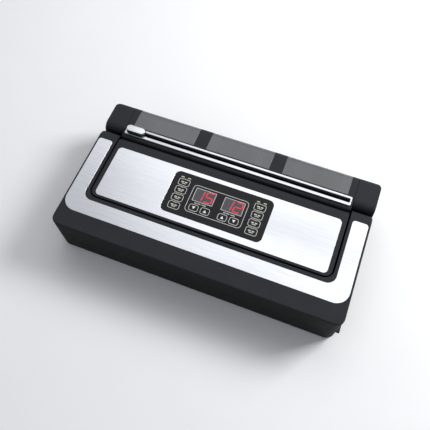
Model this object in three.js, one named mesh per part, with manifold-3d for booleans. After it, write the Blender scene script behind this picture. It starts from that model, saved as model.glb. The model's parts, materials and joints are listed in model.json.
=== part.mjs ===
// Vacuum sealer: a black counter-top machine with a U-shaped lid round a fixed console, a bag-roll
// compartment behind it under a windowed cover, and a cutter that slides along the cover's front.
// Millimetres, +Z up, the front faces -Y, and the origin is on the table under the centre.
import * as THREE from "three";
import { mergeVertices } from "three/addons/utils/BufferGeometryUtils.js";
import Module from "manifold-3d";

const wasm = await Module();
wasm.setup();

// ---- Driving dimensions ----
const WIDTH = 406; // across the side walls
const DEPTH = 217; // front wall to rear wall
const TOP = 74; // height of the top surfaces above the table
const WALL = 2.5; // moulded plastic walls
const GAP = 0.3; // between pieces that rest on or in each other
const RUN = 0.6; // between pieces that move past each other
const CORNER = 12; // plan radius of the housing's corners

const FOOT = { height: 4, radius: 9, inX: 23, front: 22, rear: 25 };
const SKIRT = 40; // depth of the lid's walls below the top
const DECK_T = 2.5; // thickness of the chassis plate
const LAP = 0.5; // how far blocks that become one solid run into each other
const CHASSIS = { clear: 1, skirt: 5, skirtT: 2, mouth: 12, mouthDeep: 7, bay: 6, rear: 5, well: 8 };
const LID = { bar: 54, armInset: 29, cornerIn: 14, roof: 2.3 };
const TRIM = { side: 3, front: 26, bar: 22.45, arm: 21.65, cornerOut: 19, cornerIn: 12.7, end: 4.2,
  endR: 4 };
const SHEET = 0.8; // thickness of the steel plates
const HINGE = { ahead: 8.5, below: 15, radius: 15, pin: 4, swing: 16.5, inset: 5, seat: 5.5 };
const CONSOLE = { groove: 2.5, corner: 10, dip: 10.5, dipDepth: 7, ledge: 4 };
const PLATE = { side: 6.1, front: 3.35, rear: 6.9, corner: 6 };
const OVERLAY = { halfX: 72.4, front: 9.55, rear: 6.5, corner: 8 };
const DISPLAY = { inner: 6.5, outer: 35.5, rear: 17.1, deep: 20, tall: 9 };
const COVER = { deep: 58, lip: 5.2, nose: 4.8, wall: 2.6, curve: 10.5, drop: 20, gap: 0.5, end: 2.6 };
const BARREL = { radius: 3.5, pin: 1.7, grip: 7, reach: 3 };
const WINDOWS = { edge: 9.3, front: 22.3, ribIn: 48, ribOut: 66.5, bottom: 14, wall: 2 };
const RAIL = { inset: 5.6, deep: 14.1, tall: 2, end: 2.5, slotFront: 4.4, slot: 6.4, lip: 2.3, stem: 3.4 };
const KNOB = { long: 27.6, deep: 10, cap: 3.4, shoe: [29, 13.6], shoeT: 2.4 };
const BLADE = { long: 12, wall: 0.6, top: 4, tip: 11.5 };
const TRAY = { floor: 8, wall: 2, shelf: 11, bed: 10, bedT: 3, groove: 3, grooveDeep: 2.5, inset: 0.8,
  rear: 3.5 };
const BUTTON = { front: 7.5, long: 36, proud: 4, top: 42, bottom: 53.2, slope: 8.5, neck: 7 };
const HOOK = { wall: 3.2, wide: 10, top: 26, nose: 1.5, noseT: 3, slot: [16, 4], slotLong: 16 };
const STRIKE = { inset: 5, long: 12, above: 2, tall: 4 }; // the lid's catch over each hook
const SPRING = { seat: 20.3, seatT: 2.2, seatLong: 16, radius: 3, wire: 0.45, turns: 4, clear: 0.8 };
const HEATER = { front: 5, deep: 7, halfX: 160, bar: 1.1, strip: 3, stripT: 0.3, tape: 0.2 };
const GASKET = { front: 15.5, rear: 4, side: 31, ring: 5, corner: 14, lower: 3.7 };
const DRIP = { side: 41, front: 24, rear: 12.5, wall: 1.5, floor: 22, flange: 2.5, corner: 6 };
const LINER = { side: 17, edge: 0.7, bottom: 32.5, tall: 7.5, groove: 3.4 };
const INLET = { inX: 23.3, wide: 22, tall: 17, deep: 20, mouth: 14, rim: 2, z: 19, pin: 2.4, pinX: 4.3,
  pinInset: 3 };
const VENT = { x: -15, pitch: 12, wide: 4, long: 30 }; // slots under the pump motor
const CAP_NOSE = 12; // radius of each end cap's front edge
const SCREW = { front: [85, 12], rear: [15, 161], head: 3.5, headT: 2, shank: 1.5, long: 18, boss: 4 };
const LID_FLOOR = TOP - SKIRT; // height of the lid's lower edge

// Places worked out from the sizes above.
const HALF = WIDTH / 2;
const FRONT = -DEPTH / 2;
const REAR = DEPTH / 2;
const TUB_TOP = LID_FLOOR - RUN;
const DECK0 = TUB_TOP + GAP; // underside of the chassis plate
const DECK = DECK0 + DECK_T; // its top, the working deck
const ARM_IN = HALF - LID.armInset;
const BAR_REAR = FRONT + LID.bar;
const HINGE_Z = TOP - HINGE.below;
const CONSOLE_X = ARM_IN - CONSOLE.groove;
const CONSOLE_Y0 = BAR_REAR + CONSOLE.groove;
const COVER_Y0 = REAR - COVER.deep;
const HINGE_Y = COVER_Y0 - HINGE.ahead; // the lid hinges just ahead of the roll compartment
const CONSOLE_Y1 = COVER_Y0 + CONSOLE.ledge; // a ledge under the cover's nose, where the film comes out
const CAP_IN = CONSOLE_X + RUN;
const COVER_X = CAP_IN - COVER.gap;
const BARREL_Y = REAR - BARREL.radius;
const BARREL_Z = TOP - COVER.drop;
const SLOT_Y = COVER_Y0 + RAIL.inset + RAIL.slotFront + RAIL.slot / 2; // middle of the cutter's slot
const PLATE_BOX = [CONSOLE_X - PLATE.side, CONSOLE_Y0 + PLATE.front, COVER_Y0 - CONSOLE.dip - PLATE.rear];
const BUTTON_Y = FRONT + BUTTON.front + BUTTON.long / 2;

// ---- Geometry helpers ----
const rad = THREE.MathUtils.degToRad;

function arc(cx, cy, r, from, to, steps = 4) {
  return Array.from({ length: steps + 1 }, (_, i) => {
    const a = rad(from + ((to - from) * i) / steps);
    return new THREE.Vector2(cx + r * Math.cos(a), cy + r * Math.sin(a));
  });
}

const pt = (x, y) => new THREE.Vector2(x, y);
const shape = (...points) => new THREE.Shape(points.flat());

function roundRect(x0, x1, y0, y1, r, steps = 4) {
  return shape(
    arc(x1 - r, y0 + r, r, -90, 0, steps),
    arc(x1 - r, y1 - r, r, 0, 90, steps),
    arc(x0 + r, y1 - r, r, 90, 180, steps),
    arc(x0 + r, y0 + r, r, 180, 270, steps),
  );
}

const rect = (x0, x1, y0, y1) => shape(pt(x0, y0), pt(x1, y0), pt(x1, y1), pt(x0, y1));

// A U open to the rear, in plan: outer and inner half widths, front edges, rear edge and corner radii.
function uShape(xo, xi, yo, yi, yRear, ro, ri, end = 0) {
  const tips = end
    ? [...arc(xo - end, yRear - end, end, 0, 90, 3), ...arc(xi + end, yRear - end, end, 90, 180, 3)]
    : [pt(xo, yRear), pt(xi, yRear)];
  const leftTips = tips.map((p) => pt(-p.x, p.y)).reverse();
  return shape(
    arc(-xo + ro, yo + ro, ro, 180, 270),
    arc(xo - ro, yo + ro, ro, 270, 360),
    tips,
    arc(xi - ri, yi + ri, ri, 0, -90),
    arc(-xi + ri, yi + ri, ri, -90, -180),
    leftTips,
  );
}

function solid(geometry) {
  geometry.deleteAttribute("normal");
  geometry.deleteAttribute("uv");
  const merged = mergeVertices(geometry, 1e-4);
  return new wasm.Manifold(
    new wasm.Mesh({
      numProp: 3,
      vertProperties: merged.attributes.position.array,
      triVerts: new Uint32Array(merged.index.array),
    }),
  );
}

const extrude = (outline, depth) =>
  new THREE.ExtrudeGeometry(outline, { depth, bevelEnabled: false, steps: 1 });
// An outline in plan, from height z0 to z1.
const slab = (outline, z0, z1) => solid(extrude(outline, z1 - z0).translate(0, 0, z0));
// A side outline in (y, z), from x0 to x1.
const TO_YZ = new THREE.Matrix4().makeBasis(
  new THREE.Vector3(0, 1, 0),
  new THREE.Vector3(0, 0, 1),
  new THREE.Vector3(1, 0, 0),
);
const prismX = (outline, x0, x1) =>
  solid(extrude(outline, x1 - x0).applyMatrix4(TO_YZ).translate(x0, 0, 0));
// A front outline in (x, z), from y0 to y1.
const TO_XZ = new THREE.Matrix4().makeBasis(
  new THREE.Vector3(1, 0, 0),
  new THREE.Vector3(0, 0, 1),
  new THREE.Vector3(0, -1, 0),
);
const prismY = (outline, y0, y1) =>
  solid(extrude(outline, y1 - y0).applyMatrix4(TO_XZ).translate(0, y1, 0));
const block = (x0, x1, y0, y1, z0, z1) => slab(rect(x0, x1, y0, y1), z0, z1);
const rodX = (r, x0, x1, y, z, n = 20) =>
  solid(
    new THREE.CylinderGeometry(r, r, x1 - x0, n)
      .rotateZ(Math.PI / 2)
      .translate((x0 + x1) / 2, y, z),
  );
const rodZ = (r, x, y, z0, z1, n = 16) =>
  solid(
    new THREE.CylinderGeometry(r, r, z1 - z0, n)
      .rotateX(Math.PI / 2)
      .translate(x, y, (z0 + z1) / 2),
  );
const union = (...parts) => parts.reduce((a, b) => a.add(b));
const cut = (body, ...tools) => tools.reduce((a, b) => a.subtract(b), body);
const flipX = (body) => body.mirror([1, 0, 0]);
// The same piece on both sides of the machine.
const bothSides = (body) => union(body, flipX(body));

// ---- Materials ----
const finish = (color, roughness, metalness = 0) =>
  new THREE.MeshStandardMaterial({ color, roughness, metalness });
const FINISH = {
  black: finish(0x2c2d2f, 0.5),
  liner: finish(0x3a3b3d, 0.6),
  steel: finish(0xd2d7de, 0.35, 1),
  chrome: finish(0xe2e4e6, 0.2, 1),
  gloss: finish(0x101012, 0.15),
  display: finish(0x777b80, 0.2),
  smoke: new THREE.MeshStandardMaterial({ color: 0x66686a, roughness: 0.15, opacity: 0.5,
    transparent: true }),
  rubber: finish(0x1b1b1c, 0.9),
  silicone: finish(0xb04a3a, 0.8),
  tape: finish(0xb98a5a, 0.6),
  board: finish(0x2f6b3c, 0.6),
  copper: finish(0xb06a35, 0.4, 1),
  white: finish(0xe6e6e2, 0.5),
};

const sealer = new THREE.Group();

function piece(name, body, material) {
  const mesh = body.getMesh();
  const geometry = new THREE.BufferGeometry();
  geometry.setAttribute("position", new THREE.BufferAttribute(mesh.vertProperties, 3));
  geometry.setIndex(new THREE.BufferAttribute(mesh.triVerts, 1));
  const node = new THREE.Mesh(geometry.toNonIndexed(), material);
  node.geometry.computeVertexNormals();
  node.name = name;
  sealer.add(node);
}

function pair(name, body, material) {
  piece(`${name}_right`, body, material);
  piece(`${name}_left`, flipX(body), material);
}

// ---- Base: tub, feet, screws and the chassis with its deck ----
const screwPlaces = [1, -1].flatMap((s) =>
  [SCREW.front, SCREW.rear].map(([inX, y]) => [s * (HALF - inX), FRONT + y]),
);
const tubFloor = FOOT.height;
const floorTop = tubFloor + WALL;

function baseTub() {
  const outer = slab(roundRect(-HALF, HALF, FRONT, REAR, CORNER), tubFloor, TUB_TOP);
  const i = HALF - WALL;
  const inside = roundRect(-i, i, FRONT + WALL, REAR - WALL, CORNER - WALL);
  const mouth = block(HALF - BUTTON.neck, HALF + 1, BUTTON_Y - BUTTON.long / 2 - GAP,
    BUTTON_Y + BUTTON.long / 2 + GAP,
    TOP - BUTTON.bottom - GAP, TUB_TOP + 1);
  const x = HALF - INLET.inX;
  const w = INLET.wide / 2 + GAP;
  const h = INLET.tall / 2 + GAP;
  const socket = block(x - w, x + w, REAR - WALL - 1, REAR + 1, INLET.z - h, INLET.z + h);
  const vents = [-2, -1, 0, 1, 2].map((k) => {
    const vx = VENT.x + k * VENT.pitch;
    return block(vx - VENT.wide / 2, vx + VENT.wide / 2, -VENT.long / 2, VENT.long / 2, tubFloor - 1,
      floorTop + 1);
  });
  const holes = screwPlaces.map(([sx, sy]) => rodZ(SCREW.shank + RUN, sx, sy, tubFloor - 1, floorTop + 1,
    12));
  return cut(outer, slab(inside, floorTop, TUB_TOP + 1), bothSides(mouth), socket, ...vents, ...holes);
}

const dripX = HALF - DRIP.side;
const dripY = [FRONT + DRIP.front, BAR_REAR - DRIP.rear];
const trayX = COVER_X - COVER.end - TRAY.inset;
const trayY = [CONSOLE_Y1 + 1, REAR - TRAY.rear];

function chassis() {
  const edge = (inset) => {
    const i = WALL + CHASSIS.clear + inset;
    return roundRect(-HALF + i, HALF - i, FRONT + i, REAR - i, CORNER - i);
  };
  const plate = slab(edge(0), DECK0, DECK);
  const skirt = cut(slab(edge(0), TUB_TOP - CHASSIS.skirt, DECK0 + LAP),
    slab(edge(CHASSIS.skirtT), TUB_TOP - CHASSIS.skirt - 1, DECK0 + LAP / 2));
  const bosses = screwPlaces.map(([sx, sy]) => rodZ(SCREW.boss, sx, sy, floorTop + GAP, DECK0 + LAP, 12));
  const bores = screwPlaces.map(([sx, sy]) => rodZ(SCREW.shank + GAP, sx, sy, floorTop, SCREW.long + 6,
    12));
  const [stopX, stopY] = [HALF - SPRING.seat, SPRING.seatLong / 2];
  const stop = block(stopX - SPRING.seatT, stopX, BUTTON_Y - stopY, BUTTON_Y + stopY, TOP - BUTTON.bottom,
    DECK0 + LAP);
  const [slotIn, slotOut] = [HALF - HOOK.slot[0], HALF - HOOK.slot[1]];
  const hookSlot = block(slotIn, slotOut, BUTTON_Y - HOOK.slotLong / 2, BUTTON_Y + HOOK.slotLong / 2,
    DECK0 - 1, DECK + 1);
  const mouth = block(HALF - CHASSIS.mouth, HALF, BUTTON_Y - BUTTON.long / 2 - GAP,
    BUTTON_Y + BUTTON.long / 2 + GAP,
    TUB_TOP - CHASSIS.mouthDeep, DECK0);
  const drip = slab(
    roundRect(-dripX - GAP, dripX + GAP, dripY[0] - GAP, dripY[1] + GAP, DRIP.corner + GAP), DECK0 - 1,
      DECK + 1);
  const bayX = CONSOLE_X - CHASSIS.bay;
  const bay = block(-bayX, bayX, CONSOLE_Y0 + CHASSIS.bay, CONSOLE_Y1 - CHASSIS.bay, DECK0 - 1, DECK + 1);
  const roll = block(-trayX - RUN, trayX + RUN, trayY[0] - RUN, REAR, TUB_TOP - CHASSIS.well, DECK + 1);
  const rearWall = block(-CAP_IN, CAP_IN, REAR - CHASSIS.rear, REAR, TUB_TOP - CHASSIS.well, DECK + 1);
  const whole = union(plate, skirt, ...bosses, bothSides(stop));
  return cut(whole, ...bores, bothSides(hookSlot), bothSides(mouth), drip, bay, roll, rearWall);
}

function screw(x, y) {
  return union(
    rodZ(SCREW.head, x, y, tubFloor - GAP - SCREW.headT, tubFloor - GAP, 10),
    rodZ(SCREW.shank, x, y, tubFloor - GAP - 0.1, tubFloor - GAP + SCREW.long, 8),
  );
}

piece("base_tub", baseTub(), FINISH.black);
piece("chassis", chassis(), FINISH.liner);
[["front", FRONT + FOOT.front], ["rear", REAR - FOOT.rear]].forEach(([end, y]) =>
  pair(`foot_${end}`, rodZ(FOOT.radius, HALF - FOOT.inX, y, 0, FOOT.height - GAP, 20), FINISH.rubber),
);
screwPlaces.forEach(([x, y], i) => piece(`case_screw_${i + 1}`, screw(x, y), FINISH.steel));

// ---- Sealing deck: drip tray, gasket, heater ----
function dripTray() {
  const f = DRIP.flange;
  const [y0, y1] = dripY;
  const w = DRIP.wall;
  const flange = slab(roundRect(-dripX - f, dripX + f, y0 - f, y1 + f, DRIP.corner + f), DECK + GAP,
    DECK + GAP + 1.5);
  const bowl = slab(roundRect(-dripX, dripX, y0, y1, DRIP.corner), DRIP.floor, DECK + GAP + LAP);
  const inside = slab(
    roundRect(-dripX + w, dripX - w, y0 + w, y1 - w, DRIP.corner - w), DRIP.floor + w, DECK + 5);
  return cut(union(flange, bowl), inside);
}

function gasket(z0, z1, grow = 0) {
  const x = HALF - GASKET.side;
  const y0 = FRONT + GASKET.front;
  const y1 = BAR_REAR - GASKET.rear;
  const g = grow;
  const w = GASKET.ring + grow;
  return cut(
    slab(roundRect(-x - g, x + g, y0 - g, y1 + g, GASKET.corner + g), z0, z1),
    slab(roundRect(-x + w, x - w, y0 + w, y1 - w, GASKET.corner - w), z0 - 1, z1 + 1),
  );
}

const heaterY = [FRONT + HEATER.front, FRONT + HEATER.front + HEATER.deep];
const heaterMid = (heaterY[0] + heaterY[1]) / 2;
const heaterX = Math.min(HEATER.halfX, HALF - GASKET.side);
const barTop = DECK + GAP + HEATER.bar;
const stripTop = barTop + GAP + HEATER.stripT;
const tapeTop = stripTop + GAP + HEATER.tape;
const sealTop = DECK + GAP + GASKET.lower;

piece("drip_tray", dripTray(), FINISH.liner);
piece("lower_gasket", gasket(DECK + GAP, sealTop), FINISH.rubber);
piece("heater_bar", block(-heaterX, heaterX, heaterY[0], heaterY[1], DECK + GAP, barTop), FINISH.white);
piece("heating_element",
  block(-heaterX + 2, heaterX - 2, heaterMid - HEATER.strip / 2, heaterMid + HEATER.strip / 2,
    barTop + GAP, stripTop), FINISH.steel);
piece("element_tape", block(-heaterX, heaterX, heaterY[0], heaterY[1], stripTop + GAP, tapeTop),
  FINISH.tape);

// ---- Lid: shell with hinge knuckles, steel trim, liner, upper gasket and press strip ----
const recess = TOP - SHEET - GAP;

function trimOutline(grow = 0) {
  return uShape(
    HALF - TRIM.side + grow,
    HALF - TRIM.side - TRIM.arm - grow,
    FRONT + TRIM.front - grow,
    FRONT + TRIM.front + TRIM.bar + grow,
    HINGE_Y - TRIM.end + grow,
    TRIM.cornerOut + grow,
    TRIM.cornerIn - grow,
    TRIM.endR + grow,
  );
}

function lidShell() {
  const outer = slab(uShape(HALF, ARM_IN, FRONT, BAR_REAR, HINGE_Y, CORNER, LID.cornerIn), LID_FLOOR, TOP);
  const knuckle = rodX(HINGE.radius, ARM_IN, HALF, HINGE_Y, HINGE_Z, 32);
  const w = WALL;
  const cavity = slab(
    uShape(HALF - w, ARM_IN + w, FRONT + w, BAR_REAR - w, HINGE_Y - HINGE.radius - 3, CORNER - w,
      LID.cornerIn + w),
    LID_FLOOR - 1, recess - LID.roof);
  const bore = rodX(HINGE.pin + GAP, ARM_IN - 1, HALF - HINGE.inset + GAP, HINGE_Y, HINGE_Z);
  const strikeZ = TOP - HOOK.top + STRIKE.above;
  const strike = block(HALF - STRIKE.inset, HALF - w + LAP, BUTTON_Y - STRIKE.long / 2,
    BUTTON_Y + STRIKE.long / 2,
    strikeZ, strikeZ + STRIKE.tall);
  // Inside the outer walls the lid stops above the deck.
  const overDeck = slab(
    roundRect(-HALF + w, HALF - w, FRONT + w, REAR, CORNER - w), LID_FLOOR - 1, DECK + RUN);
  const trimSeat = slab(trimOutline(GAP), recess, TOP + 1);
  const shell = cut(union(outer, bothSides(knuckle)), cavity, overDeck, trimSeat, bothSides(bore));
  return union(shell, bothSides(strike));
}

const linerY = [FRONT + WALL + LINER.edge, BAR_REAR - WALL - LINER.edge];
const linerZ = TOP - LINER.bottom;

function lidLiner() {
  const x = HALF - LINER.side;
  const g = GAP;
  const plate = slab(roundRect(-x, x, linerY[0], linerY[1], 6), linerZ, linerZ + LINER.tall);
  const strip = block(-heaterX - g, heaterX + g, heaterY[0] - g, heaterY[1] + g, linerZ - 1,
    linerZ + LINER.groove);
  return cut(plate, strip, gasket(linerZ - 1, linerZ + LINER.groove, GAP));
}

piece("lid_shell", lidShell(), FINISH.black);
piece("lid_trim", slab(trimOutline(), TOP - SHEET, TOP), FINISH.steel);
piece("lid_liner", lidLiner(), FINISH.liner);
piece("upper_gasket", gasket(sealTop + GAP, linerZ + LINER.groove - GAP), FINISH.rubber);
piece("press_strip",
  block(-heaterX, heaterX, heaterY[0], heaterY[1], tapeTop + GAP, linerZ + LINER.groove - GAP),
    FINISH.silicone);
pair("lid_hinge_pin", rodX(HINGE.pin, CONSOLE_X - HINGE.seat, HALF - HINGE.inset, HINGE_Y, HINGE_Z),
  FINISH.steel);

// ---- Release buttons, one under the lid at each side ----
function button() {
  const [x, z] = [HALF - BUTTON.neck, TOP - BUTTON.bottom];
  return prismY(
    shape(
      pt(x, z),
      pt(HALF + BUTTON.proud, z),
      pt(HALF + BUTTON.proud, TOP - BUTTON.top - BUTTON.slope),
      pt(HALF, TOP - BUTTON.top),
      pt(x, TOP - BUTTON.top),
    ),
    BUTTON_Y - BUTTON.long / 2,
    BUTTON_Y + BUTTON.long / 2,
  );
}

const hookX = HALF - BUTTON.neck - GAP; // outer face of the hook's arm

function latchHook() {
  const z = TOP - HOOK.top;
  return prismY(
    shape(
      pt(hookX - HOOK.wall, TOP - BUTTON.bottom),
      pt(hookX, TOP - BUTTON.bottom),
      pt(hookX, z - HOOK.noseT),
      pt(hookX + HOOK.nose, z - HOOK.noseT),
      pt(hookX, z),
      pt(hookX - HOOK.wall, z),
    ),
    BUTTON_Y - HOOK.wide / 2,
    BUTTON_Y + HOOK.wide / 2,
  );
}

// A coil along X from x0 to x1.
class Helix extends THREE.Curve {
  constructor(x0, x1, y, z, r, turns) {
    super();
    Object.assign(this, { x0, x1, y, z, r, turns });
  }
  getPoint(t, target = new THREE.Vector3()) {
    const a = 2 * Math.PI * this.turns * t;
    return target.set(
      this.x0 + (this.x1 - this.x0) * t,
      this.y + this.r * Math.cos(a),
      this.z + this.r * Math.sin(a),
    );
  }
}

const ring = (r, n) =>
  shape(Array.from({ length: n }, (_, i) => {
    const a = (2 * Math.PI * i) / n;
    return pt(r * Math.cos(a), r * Math.sin(a));
  }));

function tube(path, r, sides, steps) {
  return solid(
    new THREE.ExtrudeGeometry(ring(r, sides), { extrudePath: path, steps, bevelEnabled: false }),
  );
}

const springEnds = [HALF - SPRING.seat + SPRING.clear, hookX - HOOK.wall - SPRING.clear];
const springZ = TOP - (BUTTON.top + BUTTON.bottom) / 2;
pair("release_button", button(), FINISH.black);
pair("latch_hook", latchHook(), FINISH.white);
pair("button_spring",
  tube(new Helix(...springEnds, BUTTON_Y, springZ, SPRING.radius, SPRING.turns), SPRING.wire, 5,
    10 * SPRING.turns),
  FINISH.steel);

// ---- Console: housing, steel plate, overlay and displays ----
// The side outline of the console, or of its inside when inset by a wall.
function consoleSide(inset, bottom) {
  const top = inset ? recess - LID.roof : TOP;
  const y0 = CONSOLE_Y0 + inset;
  const y1 = CONSOLE_Y1 - inset;
  const dip0 = COVER_Y0 - CONSOLE.dip - inset;
  const dip1 = COVER_Y0 - inset;
  const depth = CONSOLE.dipDepth - (TOP - top) + inset * 1.2;
  const dip = Array.from({ length: 6 }, (_, i) => {
    const t = i / 5;
    return pt(dip0 + (dip1 - dip0) * t, top - depth * t ** 2);
  });
  return shape(pt(y0, bottom), pt(y0, top), dip, pt(y1, top - depth), pt(y1, bottom));
}

function consoleHousing() {
  const w = WALL;
  const plan = roundRect(-CONSOLE_X, CONSOLE_X, CONSOLE_Y0, REAR + 50, CONSOLE.corner);
  const outer = prismX(consoleSide(0, DECK + GAP), -CONSOLE_X, CONSOLE_X).intersect(slab(plan, 0, TOP + 1));
  const planIn = roundRect(-CONSOLE_X + w, CONSOLE_X - w, CONSOLE_Y0 + w, REAR + 50, CONSOLE.corner - w);
  const inside = prismX(consoleSide(w, DECK - 1), -CONSOLE_X + w,
    CONSOLE_X - w).intersect(slab(planIn, 0, TOP + 1));
  const [px, py0, py1] = PLATE_BOX;
  const plate = slab(roundRect(-px - GAP, px + GAP, py0 - GAP, py1 + GAP, PLATE.corner + GAP), recess,
    TOP + 1);
  const bore = rodX(HINGE.pin + GAP, CONSOLE_X - HINGE.seat - WALL, CONSOLE_X + 1, HINGE_Y, HINGE_Z);
  const d = DISPLAY.outer + GAP + 1;
  const glass = block(-d, d, displayY[0] - GAP - 1, displayY[1] + GAP + 1, recess - 5, recess + 1);
  return cut(outer, inside, plate, bothSides(bore), glass);
}

const overlayY = [PLATE_BOX[1] + OVERLAY.front, PLATE_BOX[2] - OVERLAY.rear];
const displayY = [overlayY[1] - DISPLAY.rear - DISPLAY.deep, overlayY[1] - DISPLAY.rear];
const overlayOutline = (grow = 0) =>
  roundRect(-OVERLAY.halfX - grow, OVERLAY.halfX + grow, overlayY[0] - grow, overlayY[1] + grow,
    OVERLAY.corner + grow);

function consolePlate() {
  const [px, py0, py1] = PLATE_BOX;
  const sheet = slab(roundRect(-px, px, py0, py1, PLATE.corner), TOP - SHEET, TOP);
  return cut(sheet, slab(overlayOutline(GAP), TOP - 2, TOP + 1));
}

const displayBlock = (grow, z0, z1) =>
  block(DISPLAY.inner - grow, DISPLAY.outer + grow, displayY[0] - grow, displayY[1] + grow, z0, z1);

piece("console_housing", consoleHousing(), FINISH.black);
piece("console_plate", consolePlate(), FINISH.steel);
piece("control_overlay",
  cut(slab(overlayOutline(), TOP - SHEET, TOP), bothSides(displayBlock(GAP, TOP - 2, TOP + 1))),
    FINISH.gloss);
pair("display", displayBlock(0, TOP - DISPLAY.tall, TOP - 0.1), FINISH.display);

// ---- Machinery inside the console and the tub ----
const boardTop = TOP - DISPLAY.tall - GAP;
const motor = { y: CONSOLE_Y0 + 44, z: 26, r: 15, x0: -40, x1: 10, head: 32, deep: 36, tall: 36 };
const core = { x0: 70, x1: 125, deep: 40, tall: 38, coilInset: 10, coilProud: 5, coilZ: [8, 30] };
const board = { x0: -134, x1: -92, deep: 48, lift: 3, thick: 1.6 };
const boardParts = {
  relay: { x0: -130, x1: -112, y0: -18, y1: -2, tall: 15.5 },
  filter: { x0: -128, x1: -112, y0: 6, y1: 18, tall: 9.5 },
  capacitor: { x: -102, y: 10, r: 5, tall: 17.5 },
};
const valve = { x0: 48, x1: 62, deep: 20, tall: 26 };
const headZ = floorTop + GAP;
const headFront = motor.y - motor.deep / 2;

function transformer() {
  const y = motor.y;
  const iron = core.deep / 2;
  const coil = iron + core.coilProud;
  return union(
    block(core.x0, core.x1, y - iron, y + iron, headZ, headZ + core.tall),
    block(core.x0 + core.coilInset, core.x1 - core.coilInset, y - coil, y + coil,
      headZ + core.coilZ[0], headZ + core.coilZ[1]),
  );
}

function powerBoard() {
  const y = motor.y;
  const z = headZ + board.lift;
  const seat = z + board.thick - 0.1;
  const { relay, filter, capacitor } = boardParts;
  return union(
    block(board.x0, board.x1, y - board.deep / 2, y + board.deep / 2, z, z + board.thick),
    ...[relay, filter].map((b) => block(b.x0, b.x1, y + b.y0, y + b.y1, seat, seat + b.tall)),
    rodZ(capacitor.r, capacitor.x, y + capacitor.y, seat, seat + capacitor.tall, 12),
  );
}

function mainsInlet() {
  const x = HALF - INLET.inX;
  const [w, h, r] = [INLET.wide / 2, INLET.tall / 2, INLET.rim];
  const y0 = REAR - INLET.deep;
  const body = block(x - w, x + w, y0, REAR, INLET.z - h, INLET.z + h);
  const mouth = block(x - w + r, x + w - r, REAR - INLET.mouth, REAR + 1, INLET.z - h + r, INLET.z + h - r);
  const p = INLET.pin / 2;
  const pins = [-INLET.pinX, INLET.pinX].map((px) =>
    block(x + px - p, x + px + p, REAR - INLET.mouth - LAP, REAR - INLET.pinInset, INLET.z - p,
      INLET.z + p),
  );
  return union(cut(body, mouth), ...pins);
}

const hosePath = new THREE.CatmullRomCurve3([
  new THREE.Vector3(-52, headFront - 1, 27),
  new THREE.Vector3(-52, headFront - 10, 27),
  new THREE.Vector3(-44, dripY[1] + 12, 28),
  new THREE.Vector3(-44, dripY[1] + 1, 28),
]);

piece("control_board",
  block(-OVERLAY.halfX + 4, OVERLAY.halfX - 4, overlayY[0] + 4, overlayY[1] - 4, boardTop - 1.6, boardTop),
  FINISH.board);
piece("pump_motor", rodX(motor.r, motor.x0, motor.x1, motor.y, motor.z, 24), FINISH.chrome);
[["left", motor.x0 - GAP - motor.head], ["right", motor.x1 + GAP]].forEach(([side, x]) =>
  piece(`pump_head_${side}`,
    block(x, x + motor.head, headFront, motor.y + motor.deep / 2, headZ, headZ + motor.tall), FINISH.white),
);
piece("vacuum_hose", tube(hosePath, 3.5, 8, 12), FINISH.white);
piece("release_valve",
  block(valve.x0, valve.x1, motor.y - valve.deep / 2, motor.y + valve.deep / 2, headZ, headZ + valve.tall),
  FINISH.white);
piece("transformer", transformer(), FINISH.copper);
piece("power_board", powerBoard(), FINISH.board);
piece("mains_inlet", mainsInlet(), FINISH.gloss);

// ---- Roll compartment: tray with its cutting bed and rear wall ----
const tubWallTop = BARREL_Z - BARREL.radius - 1; // the rear wall stops under the cover's barrel

function rollTray() {
  const w = TRAY.wall;
  const [y0, y1] = trayY;
  const trough = cut(
    block(-trayX, trayX, y0, y1, TRAY.floor, tubWallTop),
    block(-trayX + w, trayX - w, y0 + w, y1 - w, TRAY.floor + w, TOP),
  );
  const bedZ = TOP - TRAY.bed;
  const bed = cut(
    union(
      block(-trayX, trayX, y0, y0 + w, tubWallTop - LAP, bedZ),
      block(-trayX, trayX, y0, y0 + TRAY.shelf, bedZ - TRAY.bedT, bedZ),
    ),
    block(-trayX - 1, trayX + 1, SLOT_Y - TRAY.groove / 2, SLOT_Y + TRAY.groove / 2,
      bedZ - TRAY.grooveDeep, TOP),
  );
  const wall = block(-CAP_IN + GAP, CAP_IN - GAP, y1 - LAP, REAR, DECK0, tubWallTop);
  return union(trough, bed, wall);
}

piece("roll_tray", rollTray(), FINISH.liner);

// ---- End caps behind the lid's arms ----
function endCap() {
  const [z0, r] = [DECK0, COVER.curve];
  const yf = HINGE_Y + HINGE.swing;
  const side = shape(
    arc(yf + CAP_NOSE, TOP - CAP_NOSE, CAP_NOSE, 180, 90),
    arc(REAR - r, TOP - r, r, 90, 0, 8),
    pt(REAR, z0),
    pt(HINGE_Y + 1, z0),
    arc(HINGE_Y, HINGE_Z, HINGE.swing, -87, 0, 6),
  );
  const plan = roundRect(CAP_IN - 60, HALF, FRONT, REAR, CORNER);
  const outer = prismX(side, CAP_IN, HALF).intersect(slab(plan, 0, TOP + 1));
  const w = WALL;
  const planIn = roundRect(CAP_IN - 60, HALF - w, FRONT, REAR - w, CORNER - w);
  const inside = prismX(
    roundRect(yf + w, REAR - w, z0 - 20, TOP - w, r - w),
    CAP_IN + w,
    HALF,
  ).intersect(slab(planIn, 0, TOP));
  const deck = slab(planIn, z0 - 1, DECK + GAP);
  const bore = rodX(BARREL.pin + GAP, CAP_IN - 1, CAP_IN + w + 1, BARREL_Y, BARREL_Z, 12);
  return cut(outer, inside, deck, bore);
}

pair("end_cap", endCap(), FINISH.black);

// ---- Cover of the roll compartment, with its windows and hinge pins ----
const coverNose = arc(COVER_Y0 + COVER.nose, TOP - COVER.nose, COVER.nose, 90, 180);

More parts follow.
